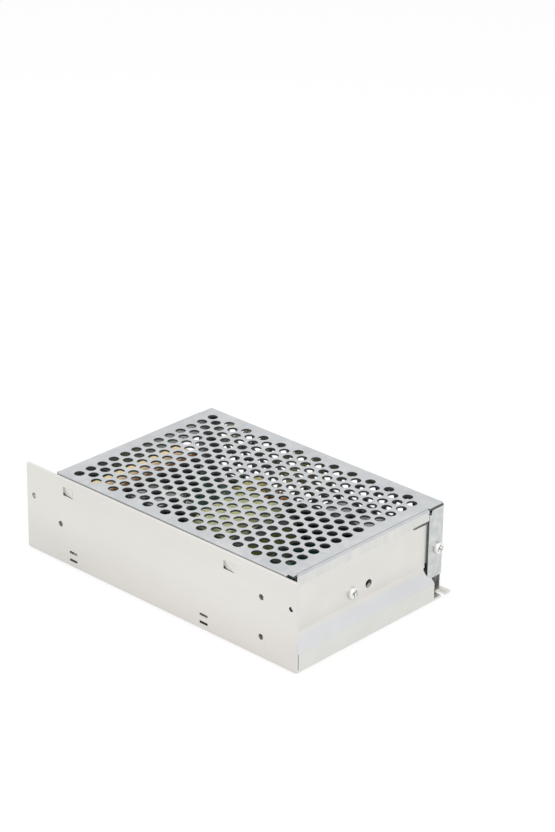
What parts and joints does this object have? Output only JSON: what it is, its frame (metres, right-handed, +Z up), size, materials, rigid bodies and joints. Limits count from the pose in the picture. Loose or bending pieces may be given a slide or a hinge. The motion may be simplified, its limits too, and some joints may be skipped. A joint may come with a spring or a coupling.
{
  "type": "mesh case switching power supply",
  "caption": "Enclosed power supply with a folded base, a perforated cover, a screw terminal block under a hinged flap and a populated circuit board.",
  "frame": {"origin": "middle of the case's length and width, on the underside of its floor", "axes": "+X along the case away from the terminals, +Y from the solid side wall to the perforated wall, +Z up"},
  "size_m": [0.16, 0.098, 0.042],
  "materials": {
    "aluminium_sheet": "satin folded sheet",
    "galvanised_steel": "galvanised sheet with faint spangle",
    "board": "green solder mask",
    "film": "matt insulating film",
    "plated_steel": "bright plated screws and spacers",
    "brass_plated": "pale gold plated screws and plates",
    "block_plastic": "black moulded plastic",
    "amber_plastic": "translucent amber plastic",
    "blue_plastic": "blue moulded plastic",
    "white_plastic": "white moulded plastic",
    "green_lens": "translucent green lens",
    "ferrite": "dark sintered ferrite",
    "yellow_tape": "pale yellow tape",
    "can_sleeve": "shrink sleeve with a bare grey top",
    "yellow_case": "yellow boxed capacitor",
    "blue_disc": "blue dipped disc",
    "copper_wire": "enamelled copper wire",
    "glass_tube": "glass fuse tube",
    "green_disc": "dark green dipped disc",
    "black_package": "black moulded package",
    "grey_pad": "grey heat pad",
    "resistor_body": "tan banded resistor",
    "core_yellow": "yellow powder core"
  },
  "bodies": {
    "case": {"base_chassis": "aluminium_sheet", "mesh_cover": "galvanised_steel", "circuit_board": "board", "insulating_sheet": "film", "board_standoffs": "plated_steel", "board_screws": "plated_steel", "foot_screw": "plated_steel", "rear_tab_screw": "plated_steel", "rear_clamp_screw": "plated_steel", "terminal_block": "block_plastic", "trimmer_body": "blue_plastic", "power_led": "green_lens", "transformer_core": "ferrite", "transformer_winding": "yellow_tape", "transformer_pins": "plated_steel", "bulk_capacitors": "can_sleeve", "output_capacitors": "can_sleeve", "small_capacitors": "can_sleeve", "line_capacitor": "yellow_case", "disc_capacitor": "blue_disc", "line_choke_core": "ferrite", "line_choke_winding": "copper_wire", "output_inductor_core": "core_yellow", "output_inductor_winding": "copper_wire", "fuse": "glass_tube", "fuse_clips": "plated_steel", "thermistor": "green_disc", "bridge_rectifier": "black_package", "power_transistor": "black_package", "transistor_pad": "grey_pad", "clamp_nut": "plated_steel", "rectifier_heatsink": "aluminium_sheet", "output_rectifier": "black_package", "sink_screw": "plated_steel", "control_chip": "black_package", "optocoupler": "black_package", "small_resistors": "resistor_body", "terminal_plate_1": "brass_plated", "terminal_plate_2": "brass_plated", "terminal_plate_3": "brass_plated", "terminal_plate_4": "brass_plated", "terminal_plate_5": "brass_plated", "terminal_plate_6": "brass_plated", "terminal_plate_7": "brass_plated"},
    "flap": {"terminal_cover": "amber_plastic"},
    "dial": {"trimmer_dial": "white_plastic"},
    "screw_1": {"terminal_screw_1": "brass_plated", "clamp_washer_1": "brass_plated"},
    "screw_2": {"terminal_screw_2": "brass_plated", "clamp_washer_2": "brass_plated"},
    "screw_3": {"terminal_screw_3": "brass_plated", "clamp_washer_3": "brass_plated"},
    "screw_4": {"terminal_screw_4": "brass_plated", "clamp_washer_4": "brass_plated"},
    "screw_5": {"terminal_screw_5": "brass_plated", "clamp_washer_5": "brass_plated"},
    "screw_6": {"terminal_screw_6": "brass_plated", "clamp_washer_6": "brass_plated"},
    "screw_7": {"terminal_screw_7": "brass_plated", "clamp_washer_7": "brass_plated"}
  },
  "joints": [
    {"name": "flap_hinge", "type": "hinge", "parent": "case", "child": "flap", "pos_m": [-0.0608, -0.0311, 0.023], "axis": [0, 1, 0], "range_deg": [-12, 38]},
    {"name": "dial_turn", "type": "hinge", "parent": "case", "child": "dial", "pos_m": [-0.0757, -0.0349, 0.014], "axis": [0, 0, 1], "range_deg": [-135, 135]},
    {"name": "screw_lift_1", "type": "slide", "parent": "case", "child": "screw_1", "axis": [0, 0, 1], "range_m": [0, 0.0025]},
    {"name": "screw_lift_2", "type": "slide", "parent": "case", "child": "screw_2", "axis": [0, 0, 1], "range_m": [0, 0.0025]},
    {"name": "screw_lift_3", "type": "slide", "parent": "case", "child": "screw_3", "axis": [0, 0, 1], "range_m": [0, 0.0025]},
    {"name": "screw_lift_4", "type": "slide", "parent": "case", "child": "screw_4", "axis": [0, 0, 1], "range_m": [0, 0.0025]},
    {"name": "screw_lift_5", "type": "slide", "parent": "case", "child": "screw_5", "axis": [0, 0, 1], "range_m": [0, 0.0025]},
    {"name": "screw_lift_6", "type": "slide", "parent": "case", "child": "screw_6", "axis": [0, 0, 1], "range_m": [0, 0.0025]},
    {"name": "screw_lift_7", "type": "slide", "parent": "case", "child": "screw_7", "axis": [0, 0, 1], "range_m": [0, 0.0025]}
  ]
}
